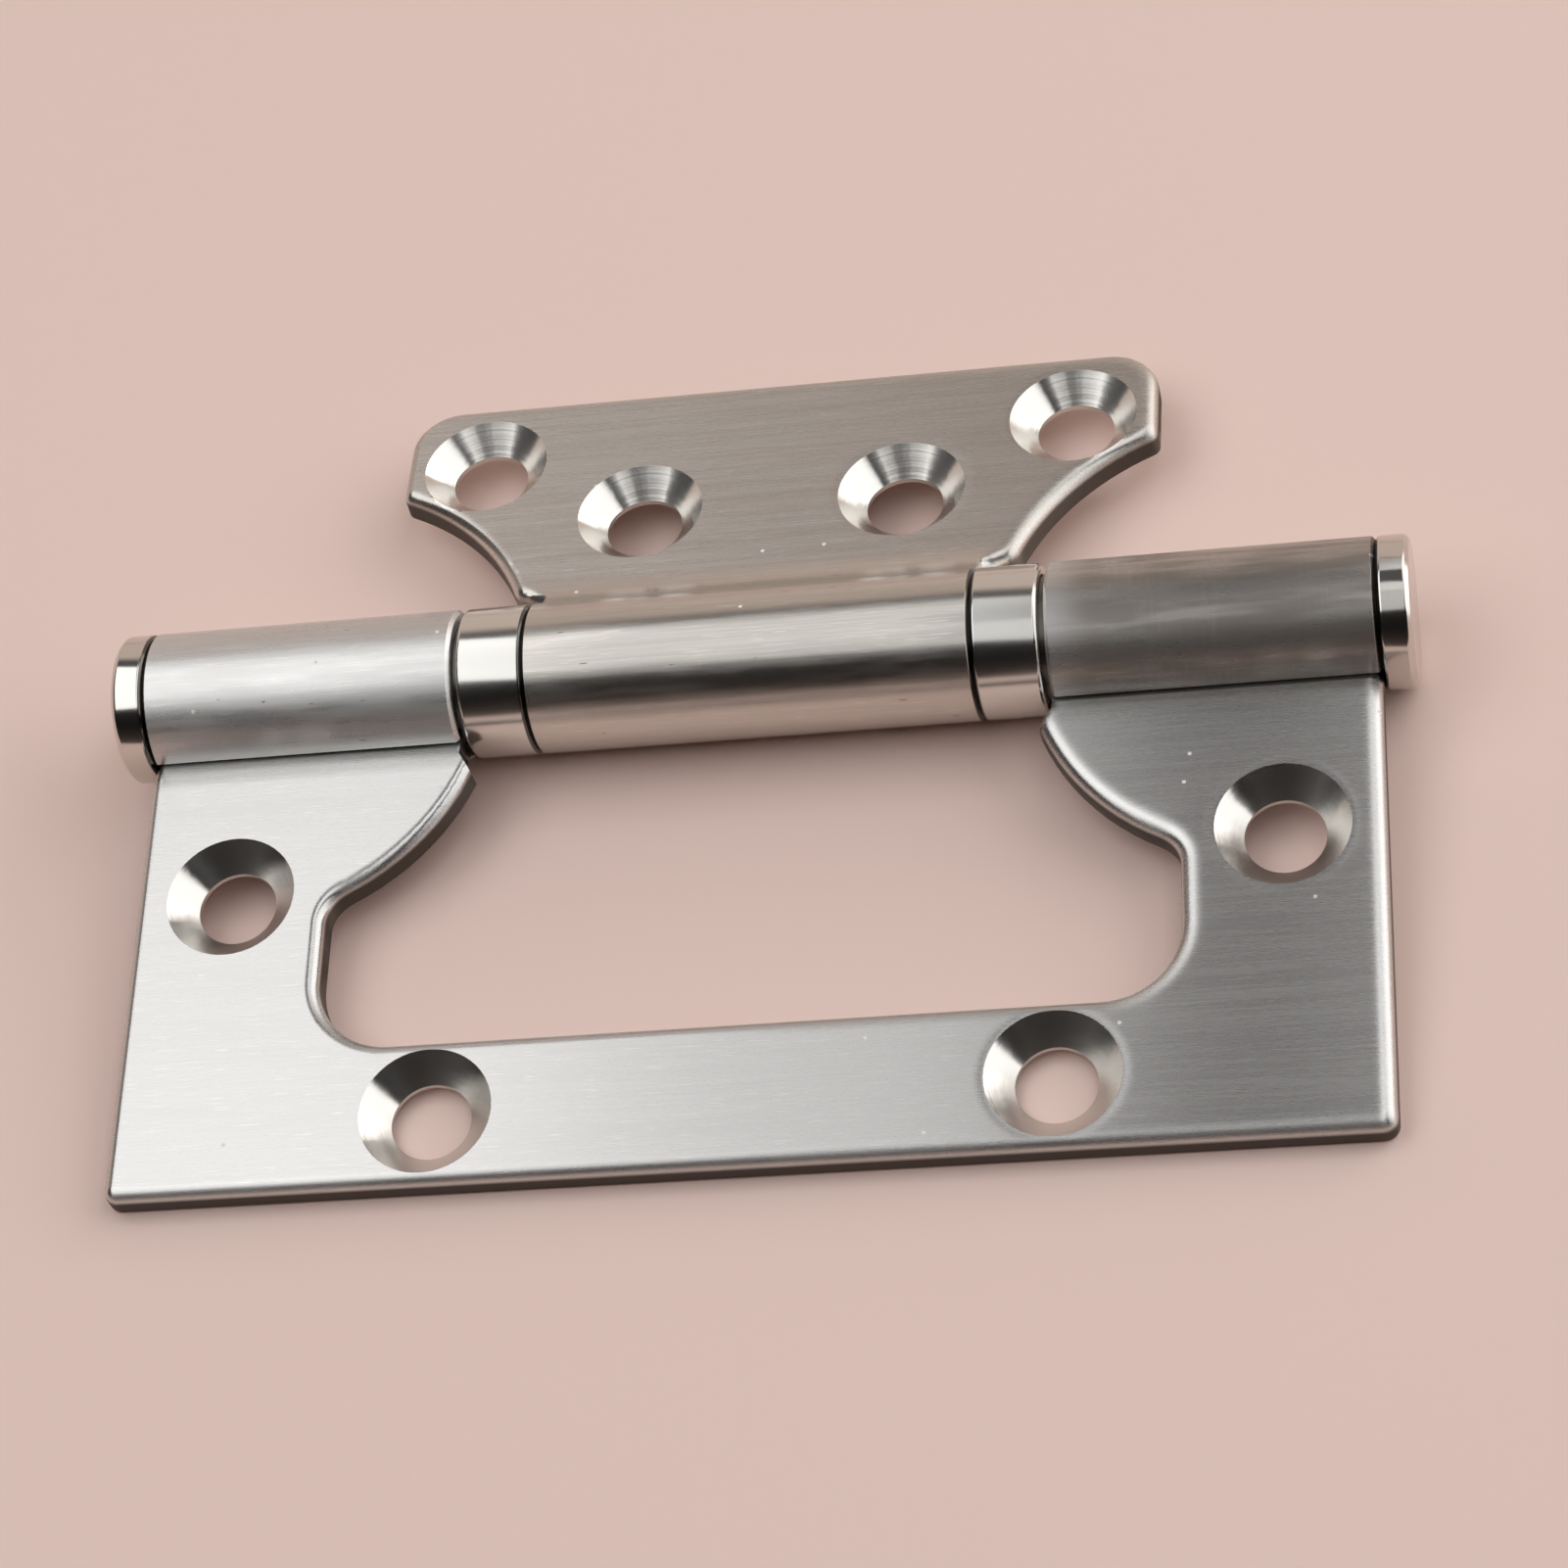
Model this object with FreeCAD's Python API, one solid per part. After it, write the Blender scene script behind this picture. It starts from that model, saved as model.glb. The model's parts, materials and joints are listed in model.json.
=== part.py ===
"""Flush hinge: two nesting leaves on one pin, with a ball bearing at each end of the middle knuckle."""
import FreeCAD, Part
import math
import os

os.makedirs("parts", exist_ok=True)
Vector = FreeCAD.Vector

# Frame: X along the pin, Z square to the outer leaf on its countersunk side. The origin is on the back
# face of the outer leaf, midway between the two screw holes in its bridge. All sizes are in mm.

# Leaves
hinge_length = 100.0          # outer leaf, end to end along the pin
leaf_thickness = 2.5
outer_leaf_reach = 45.4       # pin axis to the front edge of the outer leaf
bridge_width = 12.3           # strip in front of the window
arm_width = 15.9              # strip at each side of the window
nest_gap = 2.0                # all round between the inner leaf and the window when shut
edge_round = 1.1              # stamped edges on the countersunk faces
corner_margin = 0.1           # plan radius of the front corners, over the edge rounding

# Window outline, which the inner leaf repeats at the nest gap
flank_share = 0.61            # radius of an arm's bulge towards the barrel, over the window's reach
flank_centre_reach = 1.2
shoulder_radius = 3.0         # between the bulge and the straight side
corner_share = 0.187          # radius of the window's corners, over its reach
nose_overhang = 1.02          # nose of the bulge, past the end of its knuckle
neck_gap = 1.0                # barrel to the root of the nose
neck_corner_radius = 2.0      # inner leaf, where its flank meets the neck

# Barrel
barrel_diameter = 12.2
outer_knuckle_length = 25.9
bearing_space = 5.9           # between an outer knuckle and the middle one
outer_bend_radius = 5.5       # middle of the sheet, between leaf and roll
inner_bend_radius = 8.0
seam_gap = 0.25               # between the end of the roll and the leaf
knuckle_chamfer = 0.3
droop_angle = 10.47           # degrees that the inner leaf lies below the outer leaf's plane

# Screw holes
screw_hole_diameter = 6.4
countersink_diameter = 10.6
countersink_angle = 90.0
arm_hole_share = 0.42         # reach of the holes in the arms, over the leaf's reach
bridge_hole_share = 0.488     # spacing of the holes in the bridge, over the hinge's length
far_hole_side = 7.0           # outer holes of the inner leaf, from its side
far_hole_edge = 7.2           # the same, from its free edge
near_hole_share = 0.44        # spacing of the holes nearer the barrel, over the outer ones'
near_hole_reach_share = 0.547 # their distance from the pin axis, over the leaf's reach

# Pin and end caps
pin_clearance = 0.08          # radial, pin in the knuckles
pin_chamfer = 0.5
pin_end_play = 0.3
cap_thickness = 2.65
cap_chamfer = 0.4
shank_length = 6.0
shank_clearance = 0.01        # radial, before the knuckle grips it

# Bearings
bearing_gap = 0.5             # open ring between bearing cup and outer knuckle
cup_wall = 0.4
cup_base = 0.9
cup_lip = 0.5                 # how far the rim is rolled in over the race
cup_chamfer = 0.25
race_clearance = 0.1          # race to cup, all round
bore_clearance = 0.18         # cup and race to pin, radial
ball_clearance = 0.09         # ball to the pin and to the cup's wall
ball_play = 0.04              # along the pin, on each side of a ball
groove_depth = 0.3
groove_clearance = 0.05       # groove radius over ball radius

# Worked out from the sizes above
half_length = hinge_length / 2
half_thickness = leaf_thickness / 2
barrel_radius = barrel_diameter / 2
bore_radius = barrel_radius - leaf_thickness
pin_radius = bore_radius - pin_clearance
cup_inside = barrel_radius - cup_wall
ball_diameter = cup_inside - pin_radius - 2 * ball_clearance
front_corner_radius = edge_round + corner_margin
window_reach = outer_leaf_reach - bridge_width
window_half_width = half_length - arm_width
flank_radius = flank_share * window_reach
window_corner_radius = corner_share * window_reach
inner_leaf_reach = window_reach - nest_gap
inner_leaf_half_width = window_half_width - nest_gap
arm_hole_reach = arm_hole_share * outer_leaf_reach
arm_hole_spacing = 2 * half_length - arm_width
bridge_hole_reach = window_reach + bridge_width / 2
bridge_hole_spacing = bridge_hole_share * hinge_length
far_hole_reach = inner_leaf_reach - far_hole_edge
far_hole_spacing = 2 * (inner_leaf_half_width - far_hole_side)
near_hole_reach = near_hole_reach_share * inner_leaf_reach
near_hole_spacing = near_hole_share * far_hole_spacing
outer_knuckle_start = half_length - outer_knuckle_length
middle_knuckle_end = outer_knuckle_start - bearing_space

origin = Vector(0, 0, 0)
along_pin = Vector(1, 0, 0)
pin_axis = Vector(0, bridge_hole_reach, half_thickness)


def save(shape, name):
    shape.exportStep("parts/%s.step" % name)


def polar(centre, radius, angle):
    """Point in the XY plane at an angle in radians."""
    return centre + Vector(radius * math.cos(angle), radius * math.sin(angle), 0)


def turn(centre, radius, start, end):
    """Arc in the XY plane about a centre, from one angle to another."""
    ends_and_middle = [polar(centre, radius, angle) for angle in (start, (start + end) / 2, end)]
    return Part.Arc(*ends_and_middle).toShape()


def centres_apart(bend_radius):
    """Distance from the pin axis to the centre of the bend between leaf and roll."""
    return bend_radius + (barrel_radius + bore_radius) / 2


def bend_start(bend_radius):
    """Distance from the pin axis at which the leaf starts to bend."""
    return math.sqrt(centres_apart(bend_radius) ** 2 - bend_radius ** 2)


def sheet_section(reach, bend_radius):
    """Section of a rolled leaf with the pin axis at the origin and the leaf along +X.

    From its free edge the sheet runs in, bends up and rolls over the pin until it nearly meets itself."""
    apart = centres_apart(bend_radius)
    bend_centre = Vector(bend_start(bend_radius), bend_radius, 0)
    convex = bend_radius + half_thickness
    concave = bend_radius - half_thickness
    meet = math.asin(bend_radius / apart)
    corner_gap = convex + seam_gap
    cosine = (apart ** 2 + barrel_radius ** 2 - corner_gap ** 2) / (2 * apart * barrel_radius)
    roll_end = 2 * math.pi - (math.acos(cosine) - meet)
    down = -math.pi / 2
    inward = meet - math.pi
    edge_top = Vector(reach, half_thickness, 0)
    edge_bottom = Vector(reach, -half_thickness, 0)
    return Part.Face(Part.Wire([
        Part.makeLine(edge_top, edge_bottom),
        Part.makeLine(edge_bottom, polar(bend_centre, convex, down)),
        turn(bend_centre, convex, down, inward),
        turn(origin, bore_radius, meet, roll_end),
        Part.makeLine(polar(origin, bore_radius, roll_end), polar(origin, barrel_radius, roll_end)),
        turn(origin, barrel_radius, roll_end, meet),
        turn(bend_centre, concave, inward, down),
        Part.makeLine(polar(bend_centre, concave, down), edge_top),
    ]))


def rolled_sheet(reach, bend_radius, half_width):
    """Rolled sheet with the pin axis along X through the origin and the leaf along +Y."""
    sheet = sheet_section(reach, bend_radius).extrude(Vector(0, 0, 2 * half_width))
    sheet.translate(Vector(0, 0, -half_width))
    sheet.rotate(origin, Vector(1, 1, 1), 120)
    return sheet


def flank_centre_x():
    """Middle of an arm's bulge, which ends in the nose where the flat leaf starts."""
    rise = bend_start(outer_bend_radius) - flank_centre_reach
    return outer_knuckle_start - nose_overhang + math.sqrt(flank_radius ** 2 - rise ** 2)


def plan_prism(knuckle_half_width, inset, nose_radius=0):
    """Prism over the window's outline, or over the inner leaf's where it is inset by the nest gap."""
    flank_centre = Vector(flank_centre_x(), flank_centre_reach, 0)
    flank = flank_radius + inset
    side = window_half_width - inset
    bottom = window_reach - inset
    shoulder = shoulder_radius - inset
    corner = window_corner_radius - inset
    nose_angle = math.pi - math.asin((bend_start(outer_bend_radius) - flank_centre_reach) / flank)
    shoulder_angle = math.acos((side - shoulder - flank_centre.x) / (flank + shoulder))
    shoulder_centre = polar(flank_centre, flank + shoulder, shoulder_angle)
    corner_centre = Vector(side - corner, bottom - corner, 0)
    top = Vector(knuckle_half_width, -barrel_diameter, 0)
    neck = Vector(knuckle_half_width, barrel_radius + neck_gap, 0)
    nose = polar(flank_centre, flank, nose_angle)
    bottom_end = polar(corner_centre, corner, math.pi / 2)
    right = [
        Part.makeLine(top, neck),
        Part.makeLine(neck, nose),
        turn(flank_centre, flank, nose_angle, shoulder_angle),
        turn(shoulder_centre, shoulder, shoulder_angle - math.pi, 0),
        Part.makeLine(polar(shoulder_centre, shoulder, 0), polar(corner_centre, corner, 0)),
        turn(corner_centre, corner, 0, math.pi / 2),
    ]
    left = [edge.mirror(origin, along_pin) for edge in right]
    across = [Part.makeLine(Vector(-end.x, end.y, 0), end) for end in (top, bottom_end)]
    outline = Part.Wire(Part.__sortEdges__(right + left + across))
    prism = Part.Face(outline).extrude(Vector(0, 0, 2 * barrel_diameter))
    prism.translate(Vector(0, 0, -barrel_diameter))
    if nose_radius:
        noses = [edge for edge in prism.Edges if stands_at(edge, nose.x, nose.y)]
        prism = prism.makeFillet(nose_radius, noses)
    return prism


def stands_at(edge, x, y):
    """True for an edge square to the leaf at this distance from the middle and from the pin axis."""
    ends = [vertex.Point for vertex in edge.Vertexes]
    upright = abs(ends[0].x - ends[-1].x) + abs(ends[0].y - ends[-1].y) < 0.001
    return upright and math.hypot(abs(ends[0].x) - x, abs(ends[0].y) - y) < 0.001


def outline_edges(leaf, bend_radius):
    """Edges round the flat countersunk face, without the line where the bend starts."""
    edges = []
    for edge in leaf.Edges:
        box = edge.BoundBox
        in_face = abs(box.ZMin - half_thickness) + abs(box.ZMax - half_thickness) < 0.001
        at_bend = box.YLength < 0.001 and abs(abs(box.YMin) - bend_start(bend_radius)) < 0.001
        if in_face and not at_bend:
            edges.append(edge)
    return edges


def knuckle_rims(leaf, ends):
    """Outer rims of the rolls at these distances from the middle."""
    rims = []
    for edge in leaf.Edges:
        if edge.Degenerated or not isinstance(edge.Curve, Part.Circle):
            continue
        if abs(edge.Curve.Radius - barrel_radius) > 0.001:
            continue
        on_axis = edge.Curve.Center.cross(along_pin).Length < 0.001
        if on_axis and any(abs(abs(edge.Curve.Center.x) - end) < 0.001 for end in ends):
            rims.append(edge)
    return rims


def screw_hole(x, y):
    """Through hole with a countersink that opens on the leaf's upper face."""
    hole_radius = screw_hole_diameter / 2
    rim_radius = countersink_diameter / 2
    cone_depth = (rim_radius - hole_radius) / math.tan(math.radians(countersink_angle / 2))
    through = Part.makeCylinder(hole_radius, 2 * leaf_thickness, Vector(x, y, -leaf_thickness))
    cone = Part.makeCone(hole_radius, rim_radius, cone_depth, Vector(x, y, half_thickness - cone_depth))
    entry = Part.makeCylinder(rim_radius, leaf_thickness, Vector(x, y, half_thickness))
    return through.fuse([cone, entry])


def screw_pair(spacing, y):
    return [screw_hole(side * spacing / 2, y) for side in (-1, 1)]


def make_outer_leaf():
    """One sheet with two rolled knuckles and a window that the inner leaf folds into."""
    leaf = rolled_sheet(outer_leaf_reach, outer_bend_radius, half_length)
    leaf = leaf.cut(plan_prism(outer_knuckle_start, 0))
    leaf.rotate(origin, along_pin, 180)
    corners = [edge for edge in leaf.Edges if stands_at(edge, half_length, outer_leaf_reach)]
    leaf = leaf.makeFillet(front_corner_radius, corners)
    leaf = leaf.makeFillet(edge_round, outline_edges(leaf, outer_bend_radius))
    leaf = leaf.makeChamfer(knuckle_chamfer, knuckle_rims(leaf, (outer_knuckle_start, half_length)))
    arm_holes = screw_pair(arm_hole_spacing, -arm_hole_reach)
    bridge_holes = screw_pair(bridge_hole_spacing, -bridge_hole_reach)
    return leaf.cut(arm_holes + bridge_holes)


def make_inner_leaf():
    """One sheet with the middle knuckle, drawn flat and then let down to where it lies."""
    leaf = rolled_sheet(inner_leaf_reach, inner_bend_radius, inner_leaf_half_width)
    leaf = leaf.common(plan_prism(middle_knuckle_end, nest_gap, neck_corner_radius))
    leaf = leaf.makeFillet(edge_round, outline_edges(leaf, inner_bend_radius))
    leaf = leaf.makeChamfer(knuckle_chamfer, knuckle_rims(leaf, (middle_knuckle_end,)))
    holes = screw_pair(far_hole_spacing, far_hole_reach) + screw_pair(near_hole_spacing, near_hole_reach)
    leaf = leaf.cut(holes)
    leaf.rotate(origin, along_pin, -droop_angle)
    return leaf


def revolved(points):
    """Body turned about the pin axis from a closed outline of (along the pin, radius) points."""
    outline = Part.makePolygon([Vector(x, radius, 0) for x, radius in points + points[:1]])
    return Part.Face(outline).revolve(origin, along_pin, 360)


def make_pin():
    """Plain pin that stops short of the cap shanks at both ends."""
    half_pin = half_length - shank_length - pin_end_play
    pin = Part.makeCylinder(pin_radius, 2 * half_pin, Vector(-half_pin, 0, 0), along_pin)
    rims = [edge for edge in pin.Edges if isinstance(edge.Curve, Part.Circle)]
    return pin.makeChamfer(pin_chamfer, rims)


def make_cap():
    """End cap at the right: a disc over the knuckle's end, with a shank pressed into its bore."""
    shank_radius = bore_radius - shank_clearance
    face = half_length + cap_thickness
    return revolved([
        (half_length - shank_length, 0),
        (half_length - shank_length, shank_radius - cap_chamfer),
        (half_length - shank_length + cap_chamfer, shank_radius),
        (half_length, shank_radius),
        (half_length, barrel_radius - knuckle_chamfer),
        (half_length + knuckle_chamfer, barrel_radius),
        (face - cap_chamfer, barrel_radius),
        (face, barrel_radius - cap_chamfer),
        (face, 0),
    ])


def ball_circle_radius():
    """Middle of the room between the pin and the wall of the bearing cup."""
    return (pin_radius + cup_inside) / 2


def ball_centre_x():
    return middle_knuckle_end + cup_base - groove_depth + ball_play + ball_diameter / 2


def groove(centre_x):
    """Ring cut for the balls to run in."""
    section_radius = ball_diameter / 2 + groove_clearance
    return Part.makeTorus(ball_circle_radius(), section_radius, Vector(centre_x, 0, 0), along_pin)


def make_bearing_cup():
    """Pressed cup of the right bearing: base with the ball groove, wall, and rim rolled in over the race."""
    mouth = outer_knuckle_start - bearing_gap
    hole = pin_radius + bore_clearance
    cup = revolved([
        (middle_knuckle_end, hole),
        (middle_knuckle_end, barrel_radius - cup_chamfer),
        (middle_knuckle_end + cup_chamfer, barrel_radius),
        (mouth - cup_chamfer, barrel_radius),
        (mouth, barrel_radius - cup_chamfer),
        (mouth, cup_inside - cup_lip),
        (mouth - cup_wall, cup_inside - cup_lip),
        (mouth - cup_wall, cup_inside),
        (middle_knuckle_end + cup_base, cup_inside),
        (middle_knuckle_end + cup_base, hole),
    ])
    return cup.cut(groove(ball_centre_x() - ball_play + groove_clearance))


def make_bearing_race():
    """Turned race of the right bearing: it is held behind the cup's rim and bears on the outer knuckle."""
    inside = cup_inside - race_clearance
    neck = inside - cup_lip
    hole = pin_radius + bore_clearance
    track = ball_centre_x() + ball_diameter / 2 + ball_play - groove_depth
    step = outer_knuckle_start - bearing_gap - cup_wall - race_clearance
    race = revolved([
        (track, hole),
        (track, inside),
        (step, inside),
        (step, neck),
        (outer_knuckle_start, neck),
        (outer_knuckle_start, hole),
    ])
    return race.cut(groove(ball_centre_x() + ball_play - groove_clearance))


def make_balls():
    """Ring of balls of the right bearing, one short of a full ring so that they roll freely."""
    radius = ball_circle_radius()
    full_ring = int(math.pi / math.asin(ball_diameter / 2 / radius))
    count = full_ring - 1
    balls = []
    for place in range(count):
        angle = 2 * math.pi * place / count
        centre = Vector(ball_centre_x(), radius * math.cos(angle), radius * math.sin(angle))
        balls.append(Part.makeSphere(ball_diameter / 2, centre))
    return balls


def at_pin(shape):
    """Moves a piece drawn about the pin axis into the hinge's frame."""
    moved = shape.copy()
    moved.translate(pin_axis)
    return moved


def both_ends(shape, name):
    """Saves a piece of the right end, and its mirror image at the left end."""
    save(at_pin(shape), "right_" + name)
    save(at_pin(shape.mirror(origin, along_pin)), "left_" + name)


save(at_pin(make_outer_leaf()), "outer_leaf")
save(at_pin(make_inner_leaf()), "inner_leaf")
save(at_pin(make_pin()), "hinge_pin")
both_ends(make_cap(), "end_cap")
both_ends(make_bearing_cup(), "bearing_cup")
both_ends(make_bearing_race(), "bearing_race")
for number, ball in enumerate(make_balls(), start=1):
    both_ends(ball, "ball_%02d" % number)
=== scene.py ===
"""Flush hinge in line-brushed stainless steel, laid open on a pale floor."""
import json
import math
import bmesh
import bpy
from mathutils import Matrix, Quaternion, Vector

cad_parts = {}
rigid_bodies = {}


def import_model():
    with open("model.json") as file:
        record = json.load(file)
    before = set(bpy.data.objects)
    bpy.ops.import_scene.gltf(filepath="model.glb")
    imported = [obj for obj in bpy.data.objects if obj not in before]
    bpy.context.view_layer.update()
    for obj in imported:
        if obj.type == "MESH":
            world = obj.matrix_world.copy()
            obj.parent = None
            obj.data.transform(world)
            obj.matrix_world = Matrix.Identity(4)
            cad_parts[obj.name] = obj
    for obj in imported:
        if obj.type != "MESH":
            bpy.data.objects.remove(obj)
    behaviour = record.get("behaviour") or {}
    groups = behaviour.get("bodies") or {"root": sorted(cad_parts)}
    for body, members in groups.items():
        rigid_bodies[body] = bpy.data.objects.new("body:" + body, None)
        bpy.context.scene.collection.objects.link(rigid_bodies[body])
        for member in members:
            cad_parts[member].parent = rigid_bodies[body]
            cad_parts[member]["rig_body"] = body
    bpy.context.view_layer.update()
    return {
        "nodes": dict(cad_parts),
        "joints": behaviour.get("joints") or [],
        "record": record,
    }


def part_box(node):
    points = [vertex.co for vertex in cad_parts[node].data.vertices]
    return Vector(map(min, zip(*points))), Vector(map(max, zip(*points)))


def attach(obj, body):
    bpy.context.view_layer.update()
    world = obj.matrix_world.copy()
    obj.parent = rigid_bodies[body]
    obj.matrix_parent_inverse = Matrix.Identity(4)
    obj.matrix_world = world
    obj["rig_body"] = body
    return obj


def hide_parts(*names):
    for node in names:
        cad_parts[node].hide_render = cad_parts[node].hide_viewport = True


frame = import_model()
nodes = frame["nodes"]

MM = 0.001
MERGE_DISTANCE = 0.001 * MM
# From the wall of a screw hole to just past the rim of its countersink.
RIM_REACH = 2.2 * MM
BROKEN_EDGE = 0.1 * MM
# Colour of the painted shade in the joints between caps, cups and knuckles.
JOINT_SHADE_COLOUR = "#2B2826"
LAMP_HEIGHT = 0.70
FLOOR_REACH = 3.0

pin_axis = Vector(frame["joints"][0]["pos_m"])
cap_low, cap_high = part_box("left_end_cap")
barrel_radius = (cap_high.y - cap_low.y) / 2
leaf_low, leaf_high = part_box("outer_leaf")
cup_low, cup_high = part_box("right_bearing_cup")


def linear(code):
    """Linear colour from an sRGB hex value."""
    parts = [int(code[i:i + 2], 16) / 255 for i in (1, 3, 5)]
    return [p / 12.92 if p <= 0.04045 else ((p + 0.055) / 1.055) ** 2.4 for p in parts] + [1.0]


def add(tree, kind, inputs, **settings):
    """Adds a shader node. An input is a plain value, or the socket or node to link to it. A node stands for
    its first output that is in use."""
    made = tree.nodes.new("ShaderNode" + kind)
    for name, value in settings.items():
        setattr(made, name, value)
    for name, value in inputs.items():
        if isinstance(value, bpy.types.Node):
            value = next(output for output in value.outputs if output.enabled)
        if isinstance(value, bpy.types.NodeSocket):
            tree.links.new(value, made.inputs[name])
        else:
            made.inputs[name].default_value = value
    return made


def new_material(name):
    """Material with an empty node tree."""
    material = bpy.data.materials.new(name)
    material.use_nodes = True
    material.node_tree.nodes.clear()
    return material, material.node_tree


def streaks(tree, length, width, detail):
    """Noise in streaks of a length along the pin and a width across it, in mm."""
    place = add(tree, "TexCoord", {}).outputs["Object"]
    stretch = (1 / (length * MM), 1 / (width * MM), 1 / (width * MM))
    drawn = add(tree, "Mapping", {"Vector": place, "Scale": stretch})
    return add(tree, "TexNoise", {"Vector": drawn, "Scale": 1.0, "Detail": detail})


def on_barrel(tree, inside, outside):
    """1 up to one distance outside the barrel's surface and 0 beyond a second one, in mm."""
    place = add(tree, "TexCoord", {}).outputs["Object"]
    parts = add(tree, "SeparateXYZ", {"Vector": place})
    back = add(tree, "Math", {0: parts.outputs["Y"], 1: pin_axis.y}, operation="SUBTRACT")
    rise = add(tree, "Math", {0: parts.outputs["Z"], 1: pin_axis.z}, operation="SUBTRACT")
    off_axis = add(tree, "CombineXYZ", {"Y": back, "Z": rise})
    distance = add(tree, "VectorMath", {0: off_axis}, operation="LENGTH")
    return add(tree, "MapRange", {"Value": distance, "From Min": barrel_radius + inside * MM,
                                  "From Max": barrel_radius + outside * MM, "To Min": 1.0, "To Max": 0.0},
               interpolation_type="SMOOTHSTEP")


def in_world(tree, axis):
    """A direction fixed to the piece, which turns with it."""
    fixed = add(tree, "CombineXYZ", {"X": axis.x, "Y": axis.y, "Z": axis.z})
    return add(tree, "VectorTransform", {"Vector": fixed}, vector_type="VECTOR", convert_from="OBJECT",
               convert_to="WORLD")


def along_sheet(tree, facing, axis, low, high):
    """Rises from 0 on the stamped walls square to the sheet to 1 on its faces, between two cosines."""
    cosine = add(tree, "VectorMath", {0: facing, 1: in_world(tree, axis)}, operation="DOT_PRODUCT")
    either_side = add(tree, "Math", {0: cosine}, operation="ABSOLUTE")
    return add(tree, "MapRange", {"Value": either_side, "From Min": low, "From Max": high},
               interpolation_type="SMOOTHSTEP")


def away_from_holes(tree, holes):
    """0 round the screw holes, whose rims are crisp, and 1 elsewhere."""
    rim = holes["radius"] + RIM_REACH
    place = add(tree, "TexCoord", {}).outputs["Object"]
    nearest = None
    for centre in holes["centres"]:
        distance = add(tree, "VectorMath", {0: place, 1: centre}, operation="DISTANCE")
        nearest = add(tree, "Math", {0: nearest, 1: distance}, operation="MINIMUM") if nearest else distance
    return add(tree, "MapRange", {"Value": nearest, "From Min": rim + 0.3 * MM, "From Max": rim + 1.6 * MM},
               interpolation_type="SMOOTHSTEP")


def painted_joint_shade(tree):
    """Painted shade: rises in the grooves where a cap or a cup meets a knuckle, and is 0 elsewhere."""
    place = add(tree, "TexCoord", {}).outputs["Object"]
    along = add(tree, "SeparateXYZ", {"Vector": place}).outputs["X"]
    from_middle = add(tree, "Math", {0: along}, operation="ABSOLUTE")
    past_cap = add(tree, "Math", {0: from_middle, 1: leaf_high.x}, operation="SUBTRACT")
    past_cup = add(tree, "Math", {0: from_middle, 1: cup_low.x}, operation="SUBTRACT")
    from_cap = add(tree, "Math", {0: past_cap}, operation="ABSOLUTE")
    from_cup = add(tree, "Math", {0: past_cup}, operation="ABSOLUTE")
    nearer = add(tree, "Math", {0: from_cap, 1: from_cup}, operation="MINIMUM")
    return add(tree, "MapRange", {"Value": nearer, "From Min": 0.24 * MM, "From Max": 0.32 * MM,
                                  "To Min": 0.85, "To Max": 0.0}, interpolation_type="SMOOTHSTEP")


def dust(tree):
    """1 on a few pale specks, under half a millimetre across and centimetres apart, and 0 between them."""
    place = add(tree, "TexCoord", {}).outputs["Object"]
    cell = add(tree, "TexVoronoi", {"Vector": place, "Scale": 1 / (5.0 * MM)}, voronoi_dimensions="2D")
    speck = add(tree, "MapRange", {"Value": cell.outputs["Distance"], "From Min": 0.025, "From Max": 0.04,
                                   "To Min": 1.0, "To Max": 0.0}, interpolation_type="SMOOTHSTEP")
    draw = add(tree, "SeparateColor", {"Color": cell.outputs["Color"]}).outputs["Red"]
    chosen = add(tree, "MapRange", {"Value": draw, "From Min": 0.86, "From Max": 0.88},
                 interpolation_type="SMOOTHSTEP")
    return add(tree, "Math", {0: speck, 1: chosen}, operation="MULTIPLY")


def brushing(tree):
    """Fine lines along the pin, and the same lines mixed with broader bands. Real lines are a few hundredths
    of a millimetre wide, too fine to show, so these are drawn coarser."""
    fine = streaks(tree, length=9.0, width=0.13, detail=3.0)
    broad = streaks(tree, length=30.0, width=1.2, detail=2.0)
    mixed = add(tree, "Mix", {"Factor": 0.4, "A": fine, "B": broad})
    return fine, mixed


def brushed_colour(tree, mixed, dark, light):
    """Colour of clean brushed sheet, with short pale dashes where the abrasive dug in."""
    share = add(tree, "MapRange", {"Value": mixed, "From Min": 0.3, "From Max": 0.7},
                interpolation_type="SMOOTHSTEP")
    lined = add(tree, "Mix", {"Factor": share, "A": linear(dark), "B": linear(light)}, data_type="RGBA")
    dashes = add(tree, "MapRange", {"Value": streaks(tree, length=2.5, width=0.10, detail=0.0),
                                    "From Min": 0.70, "From Max": 0.78, "To Max": 0.4},
                 interpolation_type="SMOOTHSTEP")
    return add(tree, "Mix", {"Factor": dashes, "A": lined, "B": linear("#F0EEEA")}, data_type="RGBA")


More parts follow.
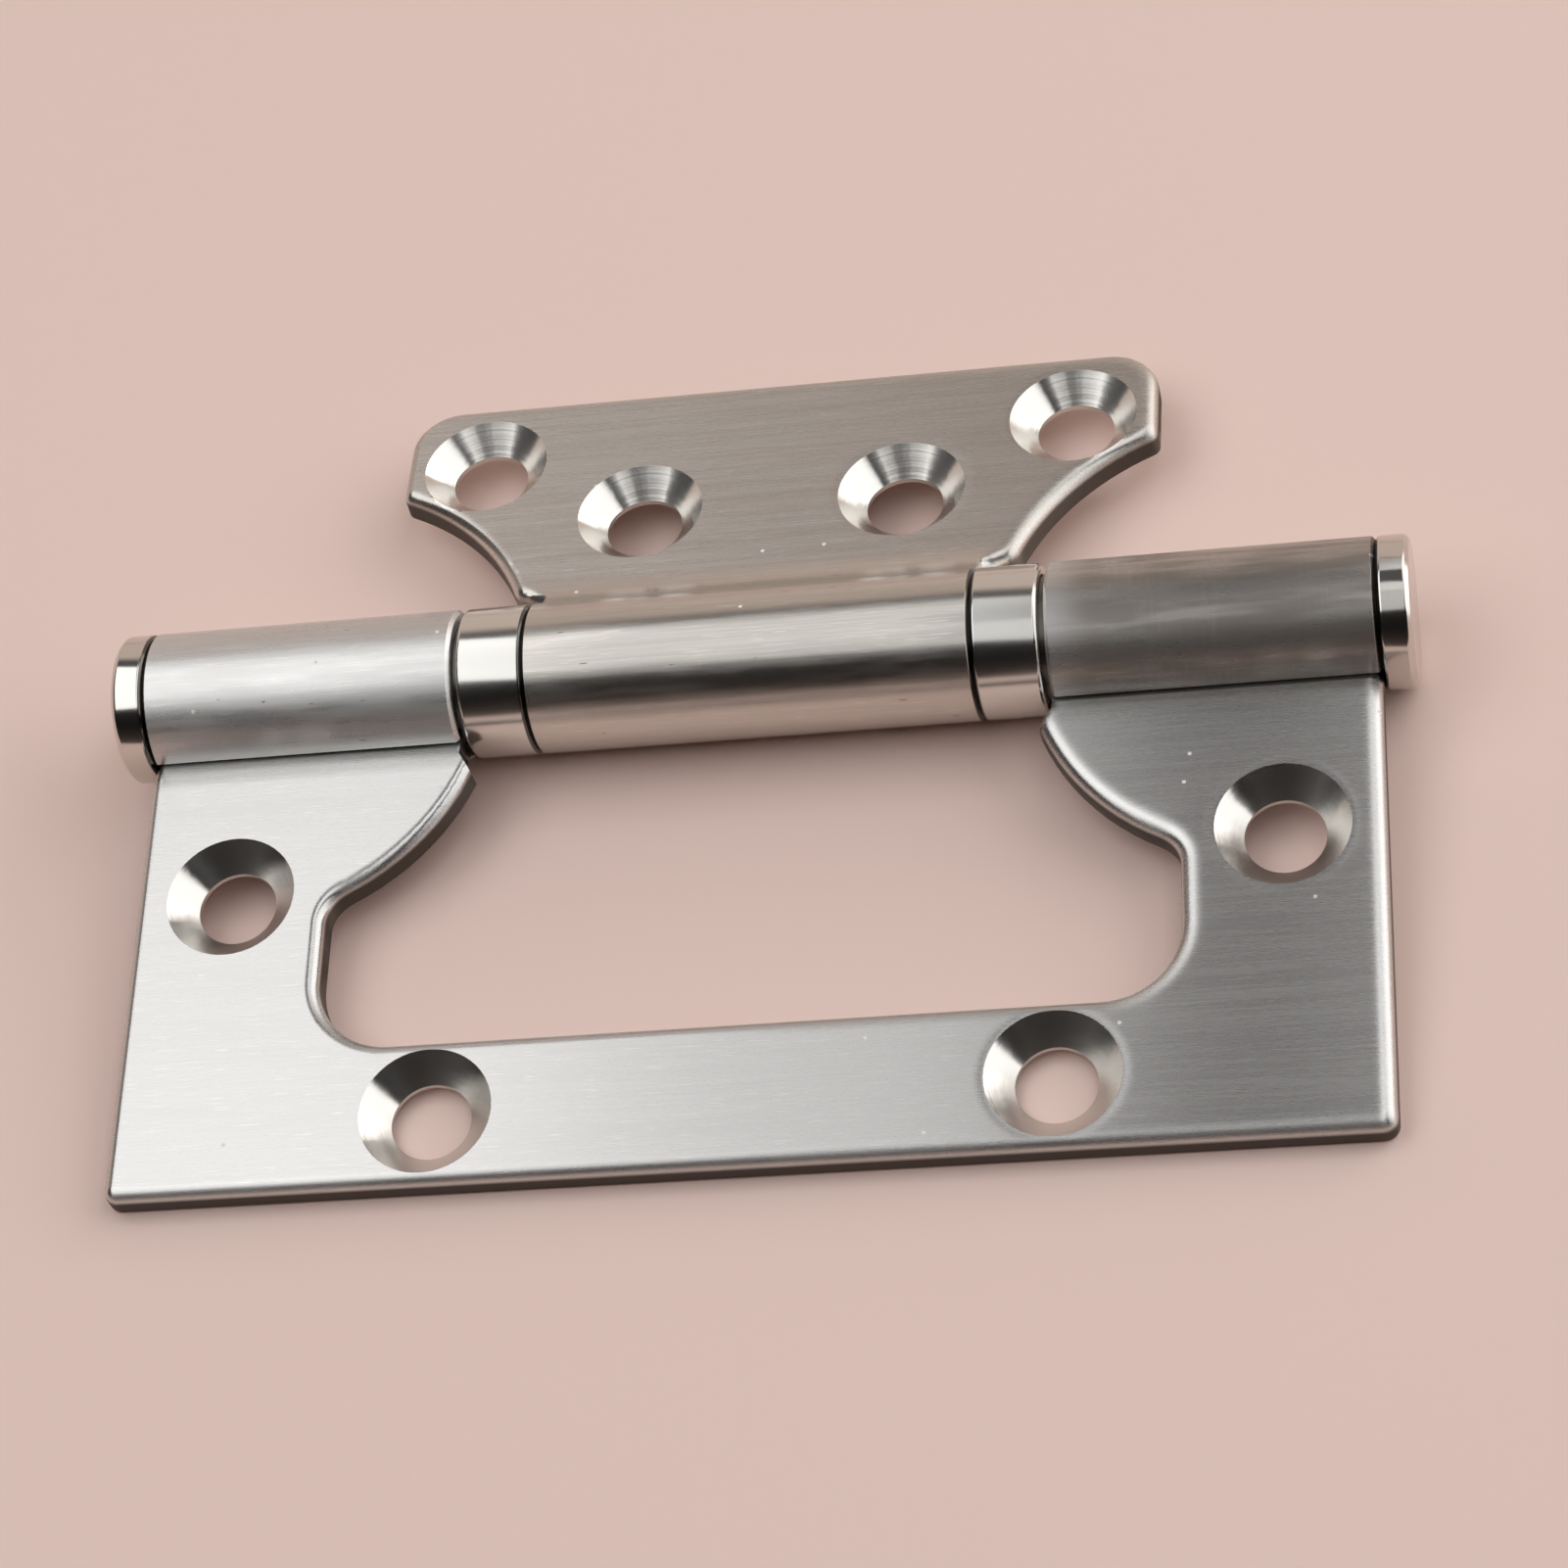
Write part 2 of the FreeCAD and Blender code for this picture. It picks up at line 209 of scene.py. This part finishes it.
def knuckle_wear(tree, clean, smeared, on_roll, dull_and_shade_amount):
    """Wear of the rolls and painted shade: the right knuckle is darker and browner but for its inner end,
    partly its own duller finish and partly painted shade, with faint lines rubbed round it, and every roll
    has a few dark nicks."""
    place = add(tree, "TexCoord", {}).outputs["Object"]
    along = add(tree, "SeparateXYZ", {"Vector": place}).outputs["X"]
    # The right knuckle's darker, browner colour is partly its own duller finish and partly painted shade.
    right_knuckle = add(tree, "MapRange", {"Value": along, "From Min": cup_high.x + 0.4 * MM,
                                           "From Max": cup_high.x + 4.4 * MM, "To Max": dull_and_shade_amount},
                        interpolation_type="SMOOTHSTEP")
    dull_and_shaded = add(tree, "Math", {0: right_knuckle, 1: on_roll}, operation="MULTIPLY")
    handled_and_shaded = add(tree, "Mix", {"Factor": smeared, "A": linear("#A7A19B"), "B": linear("#BFBAB4")},
                  data_type="RGBA")
    dulled_and_shaded = add(tree, "Mix", {"Factor": dull_and_shaded, "A": clean, "B": handled_and_shaded}, data_type="RGBA")

    patches = add(tree, "MapRange", {"Value": streaks(tree, length=4.0, width=9.0, detail=0.0),
                                     "From Min": 0.45, "From Max": 0.65}, interpolation_type="SMOOTHSTEP")
    lines_round = add(tree, "MapRange", {"Value": streaks(tree, length=0.35, width=2.5, detail=2.0),
                                         "From Min": 0.42, "From Max": 0.68, "To Max": 0.2},
                      interpolation_type="SMOOTHSTEP")
    rubbed = add(tree, "Math", {0: patches, 1: lines_round}, operation="MULTIPLY")
    scuffs = add(tree, "Math", {0: rubbed, 1: dull_and_shaded}, operation="MULTIPLY")
    scraped = add(tree, "Mix", {"Factor": scuffs, "A": dulled_and_shaded, "B": linear("#D0CCC8")}, data_type="RGBA")

    pits = add(tree, "MapRange", {"Value": streaks(tree, length=1.3, width=0.28, detail=0.0),
                                  "From Min": 0.84, "From Max": 0.87, "To Max": 0.6},
               interpolation_type="SMOOTHSTEP")
    nicks = add(tree, "Math", {0: pits, 1: on_roll}, operation="MULTIPLY")
    return add(tree, "Mix", {"Factor": nicks, "A": scraped, "B": linear("#4A4542")}, data_type="RGBA")


def sheet_relief(tree, facing, fine, off_roll, holes):
    """Normal of the sheet: soft waves on the roll, fine lines on the flats, and on the right half a rounding
    that looks wider than the solid's."""
    place = add(tree, "TexCoord", {}).outputs["Object"]
    along = add(tree, "SeparateXYZ", {"Vector": place}).outputs["X"]
    right_half = add(tree, "MapRange", {"Value": along, "From Min": -5.0 * MM, "From Max": 8.0 * MM},
                     interpolation_type="SMOOTHSTEP")
    right_leaf = add(tree, "Math", {0: right_half, 1: off_roll}, operation="MULTIPLY")
    wide = add(tree, "Math", {0: away_from_holes(tree, holes), 1: right_leaf}, operation="MULTIPLY")
    rounding = add(tree, "Bevel", {"Radius": 1.3 * MM}, samples=8)
    eased = add(tree, "Mix", {"Factor": wide, "A": facing, "B": rounding}, data_type="VECTOR")

    swell = add(tree, "Math", {0: streaks(tree, length=7.0, width=1.6, detail=2.0), 1: 0.5},
                operation="SUBTRACT")
    waves = add(tree, "Math", {0: swell, 1: on_barrel(tree, 0.1, 0.5)}, operation="MULTIPLY")
    waved = add(tree, "Bump", {"Height": waves, "Strength": 0.5, "Distance": 0.02 * MM, "Normal": eased})

    flats = along_sheet(tree, facing, holes["axis"], 0.93, 0.99)
    either_way = add(tree, "Math", {0: fine, 1: 0.5}, operation="SUBTRACT")
    lines = add(tree, "Math", {0: either_way, 1: flats}, operation="MULTIPLY")
    return add(tree, "Bump", {"Height": lines, "Strength": 0.03, "Distance": 0.02 * MM, "Normal": waved})


def brushed_stainless(name, dark, light, roll_roughness, roll_from, roll_to, dull_and_shade_amount, holes):
    """Line-brushed stainless sheet: fine lines along the pin draw a highlight out across them. The roll has
    its own roughness and wear, the stamped walls are rougher and coloured dark as painted shade, and specks
    of dust lie on the leaf."""
    material, tree = new_material(name)
    facing = add(tree, "NewGeometry", {}).outputs["Normal"]
    on_roll = on_barrel(tree, roll_from, roll_to)
    off_roll = add(tree, "Math", {0: 1.0, 1: on_roll}, operation="SUBTRACT")
    fine, mixed = brushing(tree)
    smeared = add(tree, "MapRange", {"Value": streaks(tree, length=8.0, width=1.0, detail=3.0),
                                     "From Min": 0.35, "From Max": 0.65}, interpolation_type="SMOOTHSTEP")
    off_face = along_sheet(tree, facing, holes["axis"], 0.45, 0.05)
    walls = add(tree, "Math", {0: off_face, 1: off_roll}, operation="MULTIPLY")

    clean = brushed_colour(tree, mixed, dark, light)
    worn = knuckle_wear(tree, clean, smeared, on_roll, dull_and_shade_amount)
    # Painted shade: the stamped walls are coloured dark. Only their extra roughness is the sheet's own.
    stamped = add(tree, "Mix", {"Factor": walls, "A": worn, "B": linear("#5E5751")}, data_type="RGBA")
    specks = dust(tree)
    dusty = add(tree, "Mix", {"Factor": specks, "A": stamped, "B": linear("#F2EFEA")}, data_type="RGBA")
    # Painted shade in the joints where the caps and cups meet the roll.
    joint_shading = add(tree, "Math", {0: painted_joint_shade(tree), 1: on_barrel(tree, 0.1, 0.5)}, operation="MULTIPLY")
    colour = add(tree, "Mix", {"Factor": joint_shading, "A": dusty, "B": linear(JOINT_SHADE_COLOUR)}, data_type="RGBA")

    flat_rough = add(tree, "MapRange", {"Value": mixed, "From Min": 0.3, "From Max": 0.7, "To Min": 0.26,
                                        "To Max": 0.285}, interpolation_type="SMOOTHSTEP")
    roll_rough = add(tree, "MapRange", {"Value": smeared, "To Min": roll_roughness + 0.04,
                                        "To Max": roll_roughness}, interpolation_type="SMOOTHSTEP")
    face_rough = add(tree, "Mix", {"Factor": on_roll, "A": flat_rough, "B": roll_rough})
    wall_extra = add(tree, "Math", {0: walls, 1: 0.15}, operation="MULTIPLY")
    roughness = add(tree, "Math", {0: face_rough, 1: wall_extra}, operation="ADD")

    along_pin = add(tree, "CombineXYZ", {"X": 1.0})
    across_lines = add(tree, "VectorMath", {0: facing, 1: along_pin}, operation="CROSS_PRODUCT")
    bare = add(tree, "Math", {0: 1.0, 1: specks}, operation="SUBTRACT")
    relief = sheet_relief(tree, facing, fine, off_roll, holes)
    steel = add(tree, "BsdfPrincipled", {"Base Color": colour, "Metallic": bare, "Roughness": roughness,
                                         "Anisotropic": 0.93, "Tangent": across_lines, "Normal": relief})
    add(tree, "OutputMaterial", {"Surface": steel})
    return material


def cut_steel(name, axis):
    """Countersink fresh from the cutter: rings round the hole throw bright and black rays across the cone.
    Real rings are too fine to show, so they are drawn 0.3 mm apart."""
    material, tree = new_material(name)
    facing = add(tree, "NewGeometry", {}).outputs["Normal"]
    rings = add(tree, "VectorMath", {0: in_world(tree, axis), 1: facing}, operation="CROSS_PRODUCT")
    across_rings = add(tree, "VectorMath", {0: facing, 1: rings}, operation="CROSS_PRODUCT")
    place = add(tree, "TexCoord", {}).outputs["Object"]
    depth = add(tree, "VectorMath", {0: place, 1: axis}, operation="DOT_PRODUCT")
    ring_count = add(tree, "Math", {0: depth, 1: 0.3 * MM}, operation="DIVIDE")
    grooves = add(tree, "TexNoise", {"W": ring_count, "Scale": 1.0, "Detail": 2.0}, noise_dimensions="1D")
    relief = add(tree, "Bump", {"Height": grooves, "Strength": 0.35, "Distance": 0.02 * MM})
    steel = add(tree, "BsdfPrincipled", {"Base Color": linear("#DCD9D4"), "Metallic": 1.0, "Roughness": 0.19,
                                         "Anisotropic": 0.85, "Tangent": across_rings, "Normal": relief})
    add(tree, "OutputMaterial", {"Surface": steel})
    return material


def turned_steel(name, colour, roughness):
    """Turned, ground or lapped steel: a mirror, clearer the finer the finish, with painted shade in the
    joints.
    """
    material, tree = new_material(name)
    shade = add(tree, "Mix", {"Factor": painted_joint_shade(tree), "A": linear(colour), "B": linear(JOINT_SHADE_COLOUR)},
                data_type="RGBA")
    steel = add(tree, "BsdfPrincipled", {"Base Color": shade, "Metallic": 1.0, "Roughness": roughness})
    add(tree, "OutputMaterial", {"Surface": steel})
    return material


def screw_holes(prefix):
    """Axis, centres and radius of one leaf's screw holes, from the record's mounts."""
    centres = []
    for mount in frame["record"]["mounts"]:
        if mount["kind"] == "bolt_pattern" and mount["name"].startswith(prefix):
            sizes = mount["dims"]
            spacing = sizes.get("spacing_x_mm", sizes.get("pcd_mm")) * MM
            axis = Vector(mount["axis"])
            radius = sizes["hole_r_mm"] * MM
            centres += [Vector(mount["pos_m"]) + Vector((side * spacing / 2, 0, 0)) for side in (-1, 1)]
    return {"axis": axis, "centres": centres, "radius": radius}


def mark_countersinks(shape, holes):
    """Gives the second material to the walls of the screw holes."""
    axis = holes["axis"]
    rim = holes["radius"] + RIM_REACH
    level = 0.999
    for face in shape.faces:
        on_wall = abs(face.normal.dot(axis)) < level
        for centre in holes["centres"]:
            offset = face.calc_center_median() - centre
            if on_wall and (offset - axis * offset.dot(axis)).length < rim:
                face.material_index = 1


def dress(node, materials, holes=None):
    """Shows a CAD node as a merged copy with even shading and these materials. A turned piece, which has no
    screw holes, also gets slightly broken edges."""
    mesh = bpy.data.meshes.new(node)
    for material in materials:
        mesh.materials.append(material)
    shape = bmesh.new()
    shape.from_mesh(nodes[node].data)
    bmesh.ops.remove_doubles(shape, verts=shape.verts, dist=MERGE_DISTANCE)
    for face in shape.faces:
        face.material_index = 0
    if holes:
        mark_countersinks(shape, holes)
    shape.to_mesh(mesh)
    shape.free()
    if "custom_normal" in mesh.attributes:
        mesh.attributes.remove(mesh.attributes["custom_normal"])
    mesh.shade_smooth()
    mesh.set_sharp_from_angle(angle=math.radians(25))
    piece = bpy.data.objects.new(node + "_shown", mesh)
    bpy.context.scene.collection.objects.link(piece)
    if not holes:
        edges = piece.modifiers.new("Broken edges", "BEVEL")
        edges.width = BROKEN_EDGE
        edges.segments = 2
        edges.limit_method = "ANGLE"
        edges.angle_limit = math.radians(30)
        edges.use_clamp_overlap = False
    normals = piece.modifiers.new("Even faces", "WEIGHTED_NORMAL")
    normals.keep_sharp = True
    normals.weight = 100
    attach(piece, nodes[node]["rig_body"])
    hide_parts(node)


def make_leaves():
    """The two sheets. The outer roll's finish starts sharply at its seam, and the inner one's fades in."""
    outer_holes = screw_holes("outer")
    outer_sheet = brushed_stainless("brushed_stainless_outer", dark="#D0CFCD", light="#D9D8D6",
                                    roll_roughness=0.27, roll_from=0.2, roll_to=0.5, dull_and_shade_amount=1.0,
                                    holes=outer_holes)
    outer_cut = cut_steel("cut_steel_outer", outer_holes["axis"])
    dress("outer_leaf", [outer_sheet, outer_cut], outer_holes)
    inner_holes = screw_holes("inner")
    inner_sheet = brushed_stainless("brushed_stainless_inner", dark="#C9C4BD", light="#D3CFC9",
                                    roll_roughness=0.16, roll_from=0.9, roll_to=3.9, dull_and_shade_amount=0.0,
                                    holes=inner_holes)
    inner_cut = cut_steel("cut_steel_inner", inner_holes["axis"])
    dress("inner_leaf", [inner_sheet, inner_cut], inner_holes)


def make_turned_pieces():
    """Pin, caps, cups, races and balls. The balls are the CAD's own, with a material."""
    cup = turned_steel("polished_cup_steel", "#DCDAD5", roughness=0.18)
    cap = turned_steel("turned_cap_steel", "#D6D2CC", roughness=0.13)
    # The races are coloured far darker than ground steel: painted shade in the gap beside each cup.
    race = turned_steel("ground_race_steel", "#6E6A66", roughness=0.3)
    pin = turned_steel("ground_pin_steel", "#A8A6A4", roughness=0.2)
    ball = turned_steel("lapped_ball_steel", "#BCBCBE", roughness=0.06)
    dress("hinge_pin", [pin])
    for side in ("left", "right"):
        dress(side + "_end_cap", [cap])
        dress(side + "_bearing_cup", [cup])
        dress(side + "_bearing_race", [race])
    for name, node in nodes.items():
        if "_ball_" in name:
            node.data.materials.clear()
            node.data.materials.append(ball)


def matt_paint():
    """Matt paint on a flat board: no highlight, pale and a little pink."""
    material, tree = new_material("matt_paint")
    paint = add(tree, "BsdfPrincipled", {"Base Color": linear("#F2D7CD"), "Roughness": 0.95,
                                         "Specular IOR Level": 0.1})
    add(tree, "OutputMaterial", {"Surface": paint})
    return material


def make_floor():
    """Pale floor that touches the barrel and the front edge of the outer leaf, as the hinge lies."""
    reach = pin_axis.y - leaf_low.y
    tilt = math.atan2(pin_axis.z, reach) - math.asin(barrel_radius / math.hypot(reach, pin_axis.z))
    mesh = bpy.data.meshes.new("floor")
    shape = bmesh.new()
    bmesh.ops.create_grid(shape, x_segments=1, y_segments=1, size=FLOOR_REACH)
    shape.to_mesh(mesh)
    shape.free()
    floor = bpy.data.objects.new("floor", mesh)
    floor.location = (0, leaf_low.y, 0)
    floor.rotation_euler = (tilt, 0, 0)
    bpy.context.scene.collection.objects.link(floor)
    mesh.materials.append(matt_paint())


def softbox(name, place, target, width, depth, radiance):
    """Rectangular lamp with an even face, which the steel mirrors."""
    data = bpy.data.lights.new(name, "AREA")
    data.shape = "RECTANGLE"
    data.size = width
    data.size_y = depth
    data.energy = radiance * width * depth * math.pi
    lamp = bpy.data.objects.new(name, data)
    lamp.location = place
    lamp.rotation_euler = (Vector(place) - Vector(target)).to_track_quat("Z", "Y").to_euler()
    lamp.visible_camera = False
    bpy.context.scene.collection.objects.link(lamp)


def ceiling_panel(name, left, right, radiance, front=-0.35, back=0.62):
    """Lamp that hangs level over the hinge, between two places along the pin and two across it."""
    along = (left + right) / 2
    across = (front + back) / 2
    softbox(name, (along, across, LAMP_HEIGHT), (along, across, 0.0), right - left, back - front, radiance)


def make_lamps():
    """A large softbox over the left that fades towards the middle, a dark gap with a weak panel in front, a
    softbox over the right and a low one beside it. Two narrow strips give the right cap its highlight."""
    ceiling_panel("key", -0.85, -0.20, radiance=1.54)
    ceiling_panel("key_edge", -0.20, -0.078, radiance=0.95)
    ceiling_panel("front_fill", -0.075, 0.10, radiance=0.6, back=0.05)
    ceiling_panel("fill", 0.10, 0.40, radiance=1.25)
    softbox("side", place=(0.662, 0.281, 0.351), target=(0.0, 0.0, 0.0), width=1.08, depth=0.75,
            radiance=1.45)
    ceiling_panel("cap_strip_front", 0.003, 0.029, radiance=1.6, front=-0.26, back=0.20)
    ceiling_panel("cap_strip_back", -0.001, 0.025, radiance=1.6, front=0.50, back=1.00)


def make_studio():
    """A dim room round the hinge: pale low at the back, dim overhead, darkest half way up in front and
    lighter again towards the floor."""
    world = bpy.data.worlds.new("studio")
    bpy.context.scene.world = world
    world.use_nodes = True
    tree = world.node_tree
    tree.nodes.clear()
    toward = add(tree, "TexCoord", {}).outputs["Generated"]
    parts = add(tree, "SeparateXYZ", {"Vector": toward})
    front = add(tree, "Math", {0: parts.outputs["Y"], 1: -1.0}, operation="MULTIPLY")
    angle = add(tree, "Math", {0: front, 1: parts.outputs["Z"]}, operation="ARCTAN2")
    share = add(tree, "MapRange", {"Value": angle, "From Min": -math.pi, "From Max": math.pi})
    tones = add(tree, "ValToRGB", {"Fac": share})
    # Each tone stands at its angle in degrees from straight up, 90 towards the front and -90 to the back.
    below = "#8C7F78"
    walls = [(-90, "#D2C1B7"), (-60, "#D2C1B7"), (-50, "#4B4949"), (10, "#4B4A4C"), (34, "#1E1C1B"),
             (58, "#1A1817"), (74, "#352E2B"), (92, "#5A504B")]
    first, last = tones.color_ramp.elements
    first.color = linear(below)
    last.color = linear(below)
    for degrees, code in walls:
        tones.color_ramp.elements.new((degrees + 180) / 360).color = linear(code)
    light = add(tree, "Background", {"Color": tones, "Strength": 1.0})
    add(tree, "OutputWorld", {"Surface": light})


def make_camera():
    """The photograph's place, direction and roll, fitted to the hinge's own points."""
    azimuth = math.radians(20.51)
    elevation = math.radians(57.29)
    roll = math.radians(-21.64)
    data = bpy.data.cameras.new("camera")
    data.sensor_width = 36.0
    data.lens = 104.85
    data.clip_start = 0.01
    camera = bpy.data.objects.new("camera", data)
    back = Vector((math.sin(azimuth) * math.cos(elevation), -math.cos(azimuth) * math.cos(elevation),
                   math.sin(elevation)))
    camera.location = (0.0710, -0.1552, 0.3052)
    camera.rotation_mode = "QUATERNION"
    camera.rotation_quaternion = back.to_track_quat("Z", "Y") @ Quaternion((0, 0, 1), roll)
    bpy.context.scene.collection.objects.link(camera)
    bpy.context.scene.camera = camera


make_leaves()
make_turned_pieces()
make_floor()
make_lamps()
make_studio()
make_camera()
bpy.context.scene.view_settings.view_transform = "Standard"
